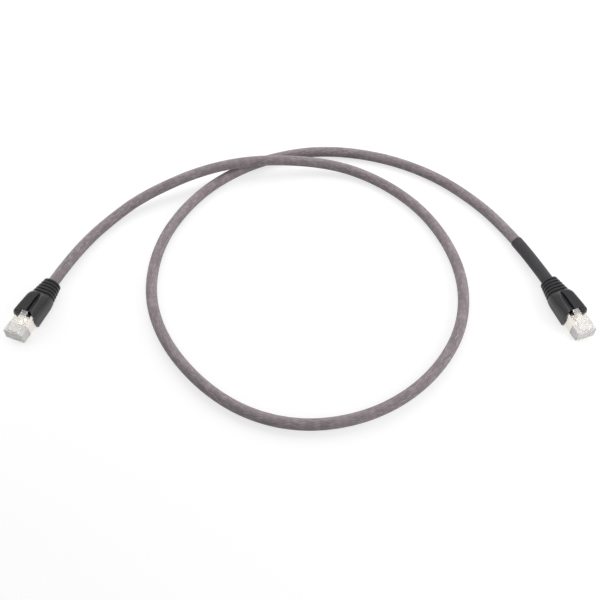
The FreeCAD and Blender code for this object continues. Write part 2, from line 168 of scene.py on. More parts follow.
# The cable's route, from inside the left boot round the loop and into the right boot. The cable drifts
# a little to one side as it leaves the left boot.
straight_inside = 10.0
left_lead = 10.0
left_drift = 0.6
right_lead = 12.0
route = [
    left_end.at(straight_inside),
    left_end.at(-left_lead, -left_drift),
    lying(-123.4, 52.5),
    lying(-110.9, 70.0),
    lying(-93.8, 86.3, ramp_height),
    lying(-59.8, 104.5, crossing_height),
    lying(-25.4, 113.9, crossing_height),
    lying(15.7, 115.6, ramp_height),
    lying(44.9, 105.4),
    lying(70.7, 81.6),
    lying(86.4, 52.2),
    lying(92.9, 21.0),
    lying(88.9, -9.5),
    lying(74.9, -35.9),
    lying(54.0, -56.3),
    lying(28.9, -68.6),
    lying(0.4, -72.2),
    lying(-27.8, -64.5),
    lying(-52.9, -45.7),
    lying(-73.6, -18.0),
    lying(-83.9, 13.6),
    lying(-81.5, 49.6),
    lying(-67.5, 80.8),
    lying(-47.6, 104.0),
    lying(-21.1, 121.0),
    lying(13.3, 129.6),
    lying(50.8, 123.7),
    lying(83.4, 107.1),
    lying(108.5, 82.0),
    lying(124.0, 57.7),
    right_end.at(-right_lead),
    right_end.at(straight_inside),
]


# Camera


def make_camera():
    """The photograph's view: from in front and above, at a moderate distance."""
    data = bpy.data.cameras.new("camera")
    data.sensor_width = 36.0
    data.lens = 52.09
    data.clip_start = 0.01
    camera = bpy.data.objects.new("camera", data)
    camera.location = (0.0006, -0.28816, 0.38178)
    aim = Vector((0.0006, 0.0077, 0.0031))
    camera.rotation_euler = (aim - camera.location).to_track_quat("-Z", "Y").to_euler()
    bpy.context.scene.collection.objects.link(camera)
    bpy.context.scene.camera = camera


make_camera()


# Helpers for node trees


def add(tree, kind, inputs=None, **settings):
    """Add a node. Inputs are values, or sockets that are linked."""
    node = tree.nodes.new(kind)
    for name, value in settings.items():
        setattr(node, name, value)
    for key, value in (inputs or {}).items():
        if isinstance(value, bpy.types.NodeSocket):
            tree.links.new(value, node.inputs[key])
        elif value is not None:
            node.inputs[key].default_value = value
    return node


def maths(tree, operation, first, second=None, third=None):
    """The result of one Math node."""
    return add(tree, "ShaderNodeMath", {0: first, 1: second, 2: third}, operation=operation).outputs[0]


def new_tree(name, kind, inputs, outputs):
    """A node group with named inputs, as (name, type, default), and named outputs."""
    tree = bpy.data.node_groups.new(name, kind)
    for label, socket_type, default in inputs:
        socket = tree.interface.new_socket(label, in_out="INPUT", socket_type="NodeSocket" + socket_type)
        if default is not None:
            socket.default_value = default
    for label, socket_type in outputs:
        tree.interface.new_socket(label, in_out="OUTPUT", socket_type="NodeSocket" + socket_type)
    return tree


class Strands:
    """One set of a braid's strands: its height, the place across a strand, and which strand and float.

    The shift moves its floats along, so that one set dives where the other rises.
    """
    crown_power = 2.6
    weave_period = 4
    numbers_apart = 20

    def __init__(self, tree, own, other, shift, count):
        index = maths(tree, "FLOOR", own)
        self.place = maths(tree, "MULTIPLY_ADD", maths(tree, "FRACT", own), 2.0, -1.0)
        off_middle = maths(tree, "ABSOLUTE", self.place)
        crown = maths(tree, "SUBTRACT", 1.0, maths(tree, "POWER", off_middle, self.crown_power))
        phase = maths(tree, "SUBTRACT", maths(tree, "SUBTRACT", other, index), shift)
        wave = maths(tree, "COSINE", maths(tree, "MULTIPLY", phase, 2 * math.pi / self.weave_period))
        self.height = maths(tree, "ADD", crown, wave)
        own_number = maths(tree, "FLOORED_MODULO", index, count)
        self.number = maths(tree, "ADD", own_number, shift * self.numbers_apart)
        share = 1 / self.weave_period
        self.float_number = maths(tree, "FLOOR", maths(tree, "MULTIPLY_ADD", phase, share, share))


def woven(tree, around, along, strands, rate):
    """A two over, two under braid: its height, which set is on top, and the two sets."""
    turn = maths(tree, "MULTIPLY", around, strands)
    climb = maths(tree, "MULTIPLY", along, rate)
    first = maths(tree, "ADD", turn, climb)
    second = maths(tree, "SUBTRACT", turn, climb)
    sets = (
        Strands(tree, first, second, shift=0.0, count=strands),
        Strands(tree, second, first, shift=3.0, count=strands),
    )
    height = maths(tree, "MAXIMUM", sets[0].height, sets[1].height)
    on_top = maths(tree, "GREATER_THAN", sets[0].height, sets[1].height)
    return height, on_top, sets


# Geometry trees


def make_tube_tree():
    """A tube along a line of points, with a braid's relief and its UV map: turns around, metres along."""
    tree = new_tree("tube_along_route", "GeometryNodeTree", [
        ("Geometry", "Geometry", None),
        ("Radius", "Float", 0.003),
        ("Sides", "Int", 48),
        ("Rings", "Int", 100),
        ("Strands", "Float", strand_count),
        ("Rate", "Float", strand_rate),
        ("Relief", "Float", 0.0),
        ("Material", "Material", None),
    ], [("Geometry", "Geometry")])
    given = tree.nodes.new("NodeGroupInput").outputs
    line = add(tree, "GeometryNodeMeshToCurve", {"Mesh": given["Geometry"]}).outputs[0]
    even = add(tree, "GeometryNodeResampleCurve", {"Curve": line, "Count": given["Rings"]}, mode="COUNT")
    along = add(tree, "GeometryNodeSplineParameter").outputs["Length"]
    route_line = add(tree, "GeometryNodeCaptureAttribute", {"Geometry": even.outputs[0]})
    route_line.capture_items.new("FLOAT", "Along")
    tree.links.new(along, route_line.inputs["Along"])
    ring_points = maths(tree, "ADD", given["Sides"], 1.0)
    ring = add(tree, "GeometryNodeCurveArc", {
        "Resolution": ring_points, "Radius": given["Radius"], "Sweep Angle": 2 * math.pi}, mode="RADIUS")
    around = add(tree, "GeometryNodeSplineParameter").outputs["Factor"]
    ring_line = add(tree, "GeometryNodeCaptureAttribute", {"Geometry": ring.outputs[0]})
    ring_line.capture_items.new("FLOAT", "Around")
    tree.links.new(around, ring_line.inputs["Around"])
    tube = add(tree, "GeometryNodeCurveToMesh", {
        "Curve": route_line.outputs["Geometry"], "Profile Curve": ring_line.outputs["Geometry"]})
    height = woven(
        tree, ring_line.outputs["Around"], route_line.outputs["Along"], given["Strands"], given["Rate"])[0]
    relief = add(tree, "GeometryNodeCaptureAttribute", {"Geometry": tube.outputs[0]})
    relief.capture_items.new("FLOAT", "Height")
    tree.links.new(maths(tree, "MULTIPLY", height, given["Relief"]), relief.inputs["Height"])
    map_place = add(tree, "ShaderNodeCombineXYZ", {
        0: ring_line.outputs["Around"], 1: route_line.outputs["Along"]}).outputs[0]
    mapped = add(tree, "GeometryNodeStoreNamedAttribute", {
        "Geometry": relief.outputs["Geometry"], "Name": "UVMap", "Value": map_place},
        data_type="FLOAT2", domain="CORNER").outputs[0]
    closed = add(tree, "GeometryNodeMergeByDistance", {"Geometry": mapped, "Distance": 1e-6}).outputs[0]
    outwards = add(tree, "ShaderNodeVectorMath", {
        0: add(tree, "GeometryNodeInputNormal").outputs[0], "Scale": relief.outputs["Height"]},
        operation="SCALE").outputs[0]
    raised = add(tree, "GeometryNodeSetPosition", {"Geometry": closed, "Offset": outwards}).outputs[0]
    smooth = add(tree, "GeometryNodeSetShadeSmooth", {"Geometry": raised}).outputs[0]
    real = add(tree, "GeometryNodeRealizeInstances", {"Geometry": smooth}).outputs[0]
    finished = add(tree, "GeometryNodeSetMaterial", {"Geometry": real, "Material": given["Material"]})
    add(tree, "NodeGroupOutput", {0: finished.outputs[0]})
    return tree


def grown(piece, tree, values):
    """Run a geometry tree on a piece with these values, and keep the result as its plain mesh."""
    modifier = piece.modifiers.new("grow", "NODES")
    modifier.node_group = tree
    sockets = {item.name: item.identifier for item in tree.interface.items_tree if item.in_out == "INPUT"}
    for name, value in values.items():
        modifier[sockets[name]] = value
    return flattened(piece)


def flattened(piece):
    """Make a piece's modifiers part of its mesh."""
    bpy.context.view_layer.update()
    graph = bpy.context.evaluated_depsgraph_get()
    mesh = bpy.data.meshes.new_from_object(piece.evaluated_get(graph))
    piece.modifiers.clear()
    old = piece.data
    piece.data = mesh
    mesh.name = piece.name
    bpy.data.meshes.remove(old)
    return piece


def new_piece(name, mesh):
    """An object in the scene with this mesh or curve."""
    piece = bpy.data.objects.new(name, mesh)
    bpy.context.scene.collection.objects.link(piece)
    return piece


def from_bmesh(name, shape):
    """A new piece from a bmesh, which is freed."""
    mesh = bpy.data.meshes.new(name)
    shape.to_mesh(mesh)
    shape.free()
    return new_piece(name, mesh)


def stand_for(piece, body, finish, node):
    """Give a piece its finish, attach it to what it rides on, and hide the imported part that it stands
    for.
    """
    piece.data.materials.clear()
    piece.data.materials.append(finish)
    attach(piece, body)
    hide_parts(node)


# Materials

WHITE = (1.0, 1.0, 1.0, 1.0)


def linear(red, green, blue):
    """A colour given as it shows on a screen, 0 to 255."""
    def channel(value):
        """One of the three, as light."""
        value /= 255
        return value / 12.92 if value <= 0.04045 else ((value + 0.055) / 1.055) ** 2.4
    return (channel(red), channel(green), channel(blue), 1.0)


def make_grain_group():
    """Fine unevenness of a moulded or drawn surface: a tone about 1, a height, and larger patches."""
    group = new_tree("surface_grain", "ShaderNodeTree", [
        ("Scale", "Float", 900.0),
        ("Tone Range", "Float", 0.1),
        ("Patch Scale", "Float", 60.0),
    ], [("Tone", "Float"), ("Height", "Float"), ("Patches", "Float")])
    given = group.nodes.new("NodeGroupInput").outputs
    place = add(group, "ShaderNodeTexCoord").outputs["Object"]
    fine = add(group, "ShaderNodeTexNoise", {
        "Vector": place, "Scale": given["Scale"], "Detail": 3.0, "Roughness": 0.6}).outputs[0]
    patches = add(group, "ShaderNodeTexNoise", {
        "Vector": place, "Scale": given["Patch Scale"], "Detail": 2.0}).outputs[0]
    mixed = maths(group, "ADD", maths(group, "MULTIPLY", fine, 0.5), maths(group, "MULTIPLY", patches, 0.5))
    spread = maths(group, "MULTIPLY", maths(group, "SUBTRACT", mixed, 0.5), given["Tone Range"])
    add(group, "NodeGroupOutput", {
        0: maths(group, "ADD", 1.0, spread), 1: fine, 2: patches})
    return group


def make_braid_group():
    """A braid of fine yarn on a UV map: its tone about 1, with painted shade in the weave's dips, its
    height, and a mask of lighter filaments.
    """
    group = new_tree("yarn_braid", "ShaderNodeTree", [
        ("Strands", "Float", strand_count),
        ("Rate", "Float", strand_rate),
        ("Filaments", "Float", 5.0),
    ], [("Tone", "Float"), ("Height", "Float"), ("Flecks", "Float")])
    given = group.nodes.new("NodeGroupInput").outputs
    uv_place = add(group, "ShaderNodeUVMap", uv_map="UVMap").outputs[0]
    place = add(group, "ShaderNodeSeparateXYZ", {0: uv_place}).outputs
    height, on_top, sets = woven(group, place[0], place[1], given["Strands"], given["Rate"])
    thread_shade = 0.05
    thread_height = 0.12
    strand_spread = 0.34

    def of_top(name):
        """What the set of strands on top says."""
        return add(group, "ShaderNodeMix", {
            "Factor": on_top, "A": getattr(sets[1], name), "B": getattr(sets[0], name)},
            data_type="FLOAT").outputs[0]

    across = maths(group, "MULTIPLY", of_top("place"), given["Filaments"])
    threads = maths(group, "COSINE", maths(group, "MULTIPLY", across, math.pi))
    own = add(group, "ShaderNodeCombineXYZ", {0: of_top("number"), 1: of_top("float_number")}).outputs[0]
    own_tone = add(group, "ShaderNodeTexWhiteNoise", {"Vector": own},
                   noise_dimensions="2D").outputs["Value"]
    filament = maths(group, "FLOOR", maths(group, "MULTIPLY_ADD", across, 0.5, 0.5))
    filament_place = add(group, "ShaderNodeCombineXYZ", {
        0: of_top("number"), 1: of_top("float_number"), 2: filament}).outputs[0]
    filament_tone = add(group, "ShaderNodeTexWhiteNoise", {"Vector": filament_place},
                        noise_dimensions="3D").outputs["Value"]
    flecks = add(group, "ShaderNodeMapRange", {
        "Value": filament_tone, "From Min": 0.8, "From Max": 1.0}).outputs[0]
    # Painted shade: the tone is darker where the weave dips, between strands and between filaments, and a
    # little lighter on the crowns.
    shade = add(group, "ShaderNodeMapRange", {
        "Value": height, "From Min": 0.2, "From Max": 1.6, "To Min": 0.69, "To Max": 1.07}).outputs[0]
    painted_weave_shade = maths(group, "MULTIPLY", shade, maths(group, "MULTIPLY_ADD", threads, thread_shade, 1.0))
    strand_tone = maths(group, "MULTIPLY_ADD", own_tone, strand_spread, 1.0 - strand_spread / 2)
    tone = maths(group, "MULTIPLY", painted_weave_shade, strand_tone)
    relief = maths(group, "MULTIPLY_ADD", threads, thread_height, height)
    add(group, "NodeGroupOutput", {0: tone, 1: relief, 2: flecks})
    return group


tube_tree = make_tube_tree()
grain_group = make_grain_group()
braid_group = make_braid_group()


class Finish:
    """A material under construction: its tree and its Principled shader."""

    def __init__(self, name, colour, roughness, **constants):
        self.material = bpy.data.materials.new(name)
        self.material.use_nodes = True
        self.tree = self.material.node_tree
        self.shader = self.tree.nodes["Principled BSDF"]
        self.colour = colour
        self.set("Base Color", colour)
        self.set("Roughness", roughness)
        for key, value in constants.items():
            self.set(key.replace("_", " ").title().replace("Ior", "IOR"), value)

    def set(self, socket, value):
        """Give one of the shader's sockets a value, or link another socket to it."""
        if isinstance(value, bpy.types.NodeSocket):
            self.tree.links.new(value, self.shader.inputs[socket])
        else:
            self.shader.inputs[socket].default_value = value

    def group(self, tree, **values):
        """Place a node group with these input values, and give its outputs."""
        node = add(self.tree, "ShaderNodeGroup", node_tree=tree)
        for key, value in values.items():
            node.inputs[key.replace("_", " ").title()].default_value = value
        return node.outputs

    def tinted(self, tone, colour=None):
        """The finish's colour, or another one, made lighter or darker by a tone."""
        base = self.colour[:3] if colour is None else colour
        return add(self.tree, "ShaderNodeVectorMath", {0: base, "Scale": tone},
                   operation="SCALE").outputs[0]

    def bump(self, height, distance, strength):
        """Let a height tilt the shading."""
        node = add(self.tree, "ShaderNodeBump", {
            "Height": height, "Distance": distance, "Strength": strength})
        self.set("Normal", node.outputs[0])

    def varied(self, low, high, value):
        """Roughness from low to high, as a value goes from 0.3 to 0.7."""
        node = add(self.tree, "ShaderNodeMapRange", {
            "Value": value, "From Min": 0.3, "From Max": 0.7, "To Min": low, "To Max": high})
        self.set("Roughness", node.outputs[0])


def make_braid_finish():
    """Warm grey nylon yarn with a few lighter filaments, and painted shade in the weave's dips."""
    fleck_strength = 0.3
    finish = Finish("grey_nylon_braid", linear(148, 138, 142), roughness=0.6, specular_ior_level=0.2,
                    sheen_weight=0.3, sheen_roughness=0.4)
    braid = finish.group(braid_group, strands=strand_count, rate=strand_rate)
    grain = finish.group(grain_group, scale=1400.0, tone_range=0.4, patch_scale=90.0)
    # The braid's tone carries painted shade in the weave's dips.
    tone = maths(finish.tree, "MULTIPLY", braid["Tone"], grain["Tone"])
    flecked = maths(finish.tree, "MULTIPLY_ADD", braid["Flecks"], fleck_strength, tone)
    finish.set("Base Color", finish.tinted(flecked))
    finish.bump(braid["Height"], distance=0.12 * MM, strength=0.6)
    return finish.material


def make_moulded_finish(name, colour, roughness, grain_scale, bump_height, tone_range=0.25, **constants):
    """A moulded plastic or rubber with fine grain, whose bumps have a height in millimetres."""
    finish = Finish(name, colour, roughness, **constants)
    grain = finish.group(grain_group, scale=grain_scale, tone_range=tone_range, patch_scale=120.0)
    finish.set("Base Color", finish.tinted(grain["Tone"]))
    finish.varied(roughness * 0.85, roughness * 1.15, grain["Patches"])
    finish.bump(grain["Height"], distance=bump_height * MM, strength=0.5)
    return finish.material


def make_clear_finish(name, roughness, transmission, ior, **constants):
    """Clear moulded plastic. Light passes straight through it to what is inside and behind."""
    finish = Finish(name, linear(253, 251, 248), roughness,
                    transmission_weight=transmission, ior=ior, **constants)
    grain = finish.group(grain_group, scale=500.0, tone_range=0.04, patch_scale=200.0)
    finish.set("Base Color", finish.tinted(grain["Tone"]))
    finish.varied(roughness * 0.8, roughness * 1.2, grain["Patches"])
    finish.bump(grain["Height"], distance=0.01 * MM, strength=0.3)
    path = add(finish.tree, "ShaderNodeLightPath").outputs
    lighting = maths(finish.tree, "MAXIMUM", path["Is Shadow Ray"], path["Is Diffuse Ray"])
    see_through = add(finish.tree, "ShaderNodeBsdfTransparent").outputs[0]
    mixed = add(finish.tree, "ShaderNodeMixShader", {
        0: lighting, 1: finish.shader.outputs[0], 2: see_through}).outputs[0]
    finish.tree.links.new(mixed, finish.tree.nodes["Material Output"].inputs["Surface"])
    return finish.material


def make_metal_finish(name, colour, roughness):
    """Plated sheet metal with fine drawing lines."""
    finish = Finish(name, colour, roughness, metallic=1.0)
    grain = finish.group(grain_group, scale=2500.0, tone_range=0.1, patch_scale=180.0)
    finish.set("Base Color", finish.tinted(grain["Tone"]))
    finish.varied(roughness * 0.8, roughness * 1.25, grain["Patches"])
    finish.bump(grain["Height"], distance=0.004 * MM, strength=0.4)
    return finish.material


def make_wire_finish(name, colour, stripe):
    """A wire's insulation, in one colour or ringed with a second one."""
    ring_spacing = 2.4
    ring_share = 0.4
    finish = Finish(name, colour, roughness=0.4)
    grain = finish.group(grain_group, scale=1200.0, tone_range=0.08, patch_scale=90.0)
    base = None
    if stripe is not None:
        place = add(finish.tree, "ShaderNodeTexCoord").outputs["Object"]
        along = add(finish.tree, "ShaderNodeSeparateXYZ", {0: place}).outputs[1]
        ring = maths(finish.tree, "FRACT", maths(finish.tree, "MULTIPLY", along, 1 / (ring_spacing * MM)))
        mask = maths(finish.tree, "LESS_THAN", ring, ring_share)
        base = add(finish.tree, "ShaderNodeMix", {"Factor": mask, "A": colour, "B": stripe},
                   data_type="RGBA").outputs[2]
    finish.set("Base Color", finish.tinted(grain["Tone"], base))
    return finish.material


wire_colours = {
    "white_orange": ((236, 232, 224), (226, 120, 34)),
    "orange": ((226, 120, 34), None),
    "white_green": ((236, 232, 224), (40, 140, 70)),
    "blue": ((40, 90, 180), None),
    "white_blue": ((236, 232, 224), (40, 90, 180)),
    "green": ((40, 140, 70), None),
    "white_brown": ((236, 232, 224), (116, 74, 46)),
    "brown": ((116, 74, 46), None),
}

braid_finish = make_braid_finish()
boot_finish = make_moulded_finish(
    "black_boot", linear(24, 23, 27), roughness=0.3, grain_scale=700.0, bump_height=0.01,
    tone_range=0.3, specular_ior_level=0.6)
label_finish = make_moulded_finish(
    "black_label", linear(56, 54, 57), roughness=0.6, grain_scale=900.0, bump_height=0.02)
jacket_finish = make_moulded_finish(
    "grey_jacket", linear(90, 88, 92), roughness=0.5, grain_scale=900.0, bump_height=0.01)
bar_finish = make_moulded_finish(
    "white_load_bar", linear(235, 235, 232), roughness=0.35, grain_scale=900.0, bump_height=0.01,
    tone_range=0.05)
filler_finish = make_moulded_finish(
    "filler_yarn", linear(225, 222, 214), roughness=0.7, grain_scale=2000.0, bump_height=0.03,
    tone_range=0.2)
clear_finish = make_clear_finish("clear_plastic", roughness=0.25, transmission=0.8, ior=1.49)
nose_finish = make_clear_finish(
    "milky_clear_plastic", roughness=0.4, transmission=0.3, ior=1.3,
    subsurface_weight=0.45, subsurface_radius=(1.0, 1.0, 1.0), subsurface_scale=2.5 * MM)
shell_finish = make_metal_finish("plated_shell", linear(238, 233, 226), roughness=0.2)
gold_finish = make_metal_finish("gold_contact", linear(230, 190, 110), roughness=0.2)
copper_finish = make_metal_finish("copper_core", linear(214, 138, 96), roughness=0.3)
screen_finish = make_metal_finish("tinned_screen", linear(205, 205, 208), roughness=0.4)


# Floor and light


def seen_directly(tree):
    """1 for what the camera sees, itself or in a reflection or through clear plastic, else 0."""
    path = add(tree, "ShaderNodeLightPath").outputs
    first = maths(tree, "MAXIMUM", path["Is Camera Ray"], path["Is Glossy Ray"])
    return maths(tree, "MAXIMUM", first, path["Is Transmission Ray"])


def make_floor():
    """A pale floor that looks white and still takes a soft shadow."""
    material = bpy.data.materials.new("floor")
    material.use_nodes = True
    tree = material.node_tree
    tree.nodes.clear()
    seen = seen_directly(tree)
    bounce = add(tree, "ShaderNodeBsdfDiffuse", {"Color": (0.4, 0.4, 0.4, 1.0)})
    shaded = add(tree, "ShaderNodeBsdfDiffuse", {"Color": (0.38, 0.38, 0.38, 1.0)})
    glow = add(tree, "ShaderNodeEmission", {"Color": WHITE, "Strength": 0.7})
    white = add(tree, "ShaderNodeAddShader", {0: shaded.outputs[0], 1: glow.outputs[0]})
    mixed = add(tree, "ShaderNodeMixShader", {0: seen, 1: bounce.outputs[0], 2: white.outputs[0]})
    add(tree, "ShaderNodeOutputMaterial", {0: mixed.outputs[0]})
    half = 3.0
    corners = [(-half, -half, 0), (half, -half, 0), (half, half, 0), (-half, half, 0)]
    mesh = bpy.data.meshes.new("floor")
    mesh.from_pydata(corners, [], [(0, 1, 2, 3)])
    mesh.materials.append(material)
    new_piece("floor", mesh)


def make_world(fill):
    """A white surround that lights the object with a plain fill."""
    world = bpy.data.worlds.new("studio")
    bpy.context.scene.world = world
    world.use_nodes = True
    tree = world.node_tree
    background = tree.nodes["Background"]
    background.inputs["Color"].default_value = WHITE
    strength = maths(tree, "MULTIPLY_ADD", seen_directly(tree), 1.0 - fill, fill)
    tree.links.new(strength, background.inputs["Strength"])


def make_lamp(name, place, size, power):
    """A square soft light aimed at the middle of the object, which glossy surfaces don't mirror."""
    data = bpy.data.lights.new(name, "AREA")
    data.size = size
    data.energy = power
    lamp = bpy.data.objects.new(name, data)
    lamp.location = place
    lamp.rotation_euler = (-Vector(place)).to_track_quat("-Z", "Y").to_euler()
    lamp.visible_glossy = False
    bpy.context.scene.collection.objects.link(lamp)


def around(azimuth, elevation, distance):
    """A place about the middle of the object: azimuth from +X towards +Y, and elevation, in degrees."""
    turn = math.radians(azimuth)
    rise = math.radians(elevation)
    flat = distance * math.cos(rise)
    return Vector((flat * math.cos(turn), flat * math.sin(turn), distance * math.sin(rise)))


make_floor()
make_world(fill=0.1)
make_lamp("right_light", around(0, 24, 0.5), size=0.42, power=1.6)
make_lamp("left_light", around(146, 24, 0.48), size=0.42, power=1.0)
make_lamp("back_light", around(88, 46, 0.6), size=0.5, power=2.2)
make_lamp("front_light", around(-90, 24, 0.6), size=0.4, power=0.9)
bpy.context.scene.view_settings.view_transform = "Standard"


# The cable


def route_points():
    """The points of the route's smooth line."""
    curve = bpy.data.curves.new("route", "CURVE")
    curve.dimensions = "3D"
    curve.resolution_u = 40
    spline = curve.splines.new("NURBS")
    spline.points.add(len(route) - 1)
    for point, place in zip(spline.points, route):
        point.co = (*place, 1.0)
    spline.order_u = 3
    spline.use_endpoint_u = True
    line = new_piece("route", curve)
    bpy.context.view_layer.update()
    graph = bpy.context.evaluated_depsgraph_get()
    mesh = bpy.data.meshes.new_from_object(line.evaluated_get(graph))
    points = [vertex.co.copy() for vertex in mesh.vertices]
    bpy.data.objects.remove(line)
    return points


def stretch_of(points, start, stop):
    """The part of a line between two lengths along it."""
    kept = []
    travelled = 0.0
    for before, after in zip(points, points[1:]):
        length = (after - before).length
        for mark in (start, stop):
            if travelled <= mark < travelled + length:
                kept.append(before.lerp(after, (mark - travelled) / length))
        if start < travelled + length < stop:
            kept.append(after)
        travelled += length
    return kept


def line_length(points):
    """The length of a line through these points."""
    return sum((after - before).length for before, after in zip(points, points[1:]))


def line_piece(name, points):
    """A piece of edges alone, through these points."""
    mesh = bpy.data.meshes.new(name)
    mesh.from_pydata(points, [(i, i + 1) for i in range(len(points) - 1)], [])
    return new_piece(name, mesh)


def tube(name, points, radius, finish, rings, sides=48, relief=0.0):
    """A round tube along a line, open at its ends."""
    return grown(line_piece(name, points), tube_tree, {
        "Radius": radius * MM, "Sides": sides, "Rings": rings, "Relief": relief * MM,
        "Strands": strand_count, "Rate": strand_rate, "Material": finish,
    })


def sleeve(name, points, radius, bore, finish, rings, inner_rings, sides=48, relief=0.0):
    """A tube with a wall: an outer skin and a bore, joined at both ends."""
    outer = tube(name, points, radius, finish, rings, sides, relief)
    inner = tube(name + "_bore", points, bore, finish, inner_rings, sides)
    shape = bmesh.new()
    shape.from_mesh(inner.data)
    bmesh.ops.reverse_faces(shape, faces=shape.faces)
    shape.from_mesh(outer.data)
    rims = [edge for edge in shape.edges if edge.is_boundary]
    for end_point in (points[0], points[-1]):
        near = [edge for edge in rims if (edge.verts[0].co - end_point).length < 3 * radius * MM]
        bmesh.ops.bridge_loops(shape, edges=near)
    bmesh.ops.recalc_face_normals(shape, faces=shape.faces)
    shape.to_mesh(outer.data)
    shape.free()
    bpy.data.objects.remove(inner)
    return outer


path = route_points()
path_length = line_length(path)


def make_cable():
    """The braid, with a few rings of points to each strand's width, and the plain layers under it."""
    rings_per_strand = 4
    plain_spacing = 3.0
    braid_rings = round(path_length * strand_rate * rings_per_strand) + 1
    plain_rings = round(path_length / (plain_spacing * MM))
    braid = sleeve("braided_sleeve_tube", path, cable_radius - braid_relief, braid_bore, braid_finish,
                   braid_rings, plain_rings // 2, sides=64, relief=braid_relief)
    stand_for(braid, "root", braid_finish, "braided_sleeve")
    jacket = sleeve("jacket_tube", path, jacket_radius, jacket_bore, jacket_finish,
                    plain_rings, plain_rings, sides=24)
    stand_for(jacket, "root", jacket_finish, "cable_jacket")
    screen = sleeve("screen_tube", path, screen_radius, screen_bore, screen_finish,
                    plain_rings, plain_rings, sides=24)
    stand_for(screen, "root", screen_finish, "screen_braid")
    return braid


def make_label():
    """The plain black sleeve beside the right boot."""
    stop = path_length - (straight_inside + label_gap) * MM
    points = stretch_of(path, stop - label_length * MM, stop)
    label = sleeve("label_sleeve_tube", points, label_radius, label_bore, label_finish,
                   rings=85, inner_rings=34)
    stand_for(label, "root", label_finish, "label_sleeve")
    return label


braid_piece = make_cable()
label_piece = make_label()


# Solid shapes in a plug end's frame


def move_to_end(piece, end, smooth=True):
    """Move a piece from a plug end's frame to its place, and say whether its faces shade smoothly."""
    piece.data.transform(end.place)
    for polygon in piece.data.polygons:
        polygon.use_smooth = smooth
        polygon.material_index = 0


def spaced(start, stop, step):
    """Stations from start to stop, both included, about a step apart."""
    count = max(1, round(abs(stop - start) / step))
    return [start + (stop - start) * i / count for i in range(count + 1)]


def rounded_loop(x, half, reach, corner, steps=8, side_steps=6):
    """A rectangle with round corners, square to x: half its width and height, and its corner radius."""
    points = []
    for quarter, (side, up) in enumerate(((1, 1), (-1, 1), (-1, -1), (1, -1))):
        centre = (side * (half - corner), up * (reach - corner))
        for step in range(steps + 1):
            angle = math.radians(90 * quarter + 90 * step / steps)
            y = centre[0] + corner * math.cos(angle)
            z = centre[1] + corner * math.sin(angle)
            points.append(Vector((x, y, z)))
    filled = []
    for i, point in enumerate(points):
        filled.append(point)
        if i % (steps + 1) == steps:
            following = points[(i + 1) % len(points)]
            for step in range(1, side_steps):
                filled.append(point.lerp(following, step / side_steps))
    return filled


def lofted(loops, closed=False):
    """A skin through loops of equal count: capped at its ends, or closed on itself."""
    shape = bmesh.new()
    rings = [[shape.verts.new(point) for point in loop] for loop in loops]
    pairs = list(zip(rings, rings[1:]))
    if closed:
        pairs.append((rings[-1], rings[0]))
    for near, far in pairs:
        for i in range(len(near)):
            j = (i + 1) % len(near)
            shape.faces.new((near[i], far[i], far[j], near[j]))
    if not closed:
        shape.faces.new(rings[0])
        shape.faces.new(list(reversed(rings[-1])))
    bmesh.ops.recalc_face_normals(shape, faces=shape.faces)
    return shape


def block(x, y, z):
    """A box from its (low, high) along each axis."""
    shape = bmesh.new()
    bmesh.ops.create_cube(shape, size=1.0)
    for vertex in shape.verts:
        for axis, (low, high) in enumerate((x, y, z)):
            vertex.co[axis] = low + (high - low) * (vertex.co[axis] + 0.5)
    return shape


def prism_z(outline, bottom, top):
    """An outline of (x, y) points between two heights."""
    return lofted([[Vector((x, y, z)) for x, y in outline] for z in (bottom, top)])


def prism_y(outline, half):
    """An outline of (x, z) points, as wide as twice the half width."""
    return lofted([[Vector((x, y, z)) for x, z in outline] for y in (-half, half)])


def rod_x(radius, start, stop, y=0.0, z=0.0, sides=48):
    """A round bar along x."""
    shape = bmesh.new()
    bmesh.ops.create_cone(shape, cap_ends=True, segments=sides, radius1=radius, radius2=radius,
                          depth=stop - start)
    turned = Matrix.Rotation(math.pi / 2, 4, "Y")
    place = Matrix.Translation(((start + stop) / 2, y, z))
    bmesh.ops.transform(shape, matrix=place @ turned, verts=shape.verts)
    return shape


def joined(shapes):
    """Several shapes that don't meet, as one."""
    whole = bmesh.new()
    for shape in shapes:
        mesh = bpy.data.meshes.new("part")
        shape.to_mesh(mesh)
        shape.free()
        whole.from_mesh(mesh)
        bpy.data.meshes.remove(mesh)
    return whole


def carve(piece, *cutters):
    """Cut shapes out of a piece, one after the other."""
    made = []
    for cutter in cutters:
        tool = from_bmesh("cutter", cutter)
        made.append(tool)
        cut = piece.modifiers.new("cut", "BOOLEAN")
        cut.operation = "DIFFERENCE"
        cut.solver = "EXACT"
        cut.object = tool
    flattened(piece)
    for tool in made:
        bpy.data.objects.remove(tool)


def smooth_step(share):
    """A share, held between 0 and 1 and eased at both ends."""
    share = min(max(share, 0.0), 1.0)
    return share * share * (3 - 2 * share)


# The boot


def rib_bump(x):
    """1 on a rib, 0 in the groove behind it, with rounded shoulders between."""
    into = x % rib_pitch
    off_centre = abs(into - rib_width / 2)
    off_centre = min(off_centre, rib_pitch - off_centre)
    return smooth_step((rib_width / 2 + rib_softness / 2 - off_centre) / rib_softness)


def boot_outline(x):
    """Half width, half height and corner radius of the boot's outside at x."""
    if x <= ribs_end:
        share = x / ribs_end
        inset = rib_depth * (1 - rib_bump(x))
        half = rear_half + (shoulder_half - rear_half) * share - inset
        return half, axis_height - inset, rim_corner + (shoulder_corner - rim_corner) * share - inset
    share = min((x - ribs_end) / flare_length, 1.0)
    half = shoulder_half + (front_half - shoulder_half) * (1 - (1 - share) ** 2)
    if share < 1:
        return half, axis_height, shoulder_corner + (flare_corner - shoulder_corner) * share
    rest = (x - ribs_end - flare_length) / (boot_length - ribs_end - flare_length)
    return half, axis_height, flare_corner + (front_corner - flare_corner) * rest


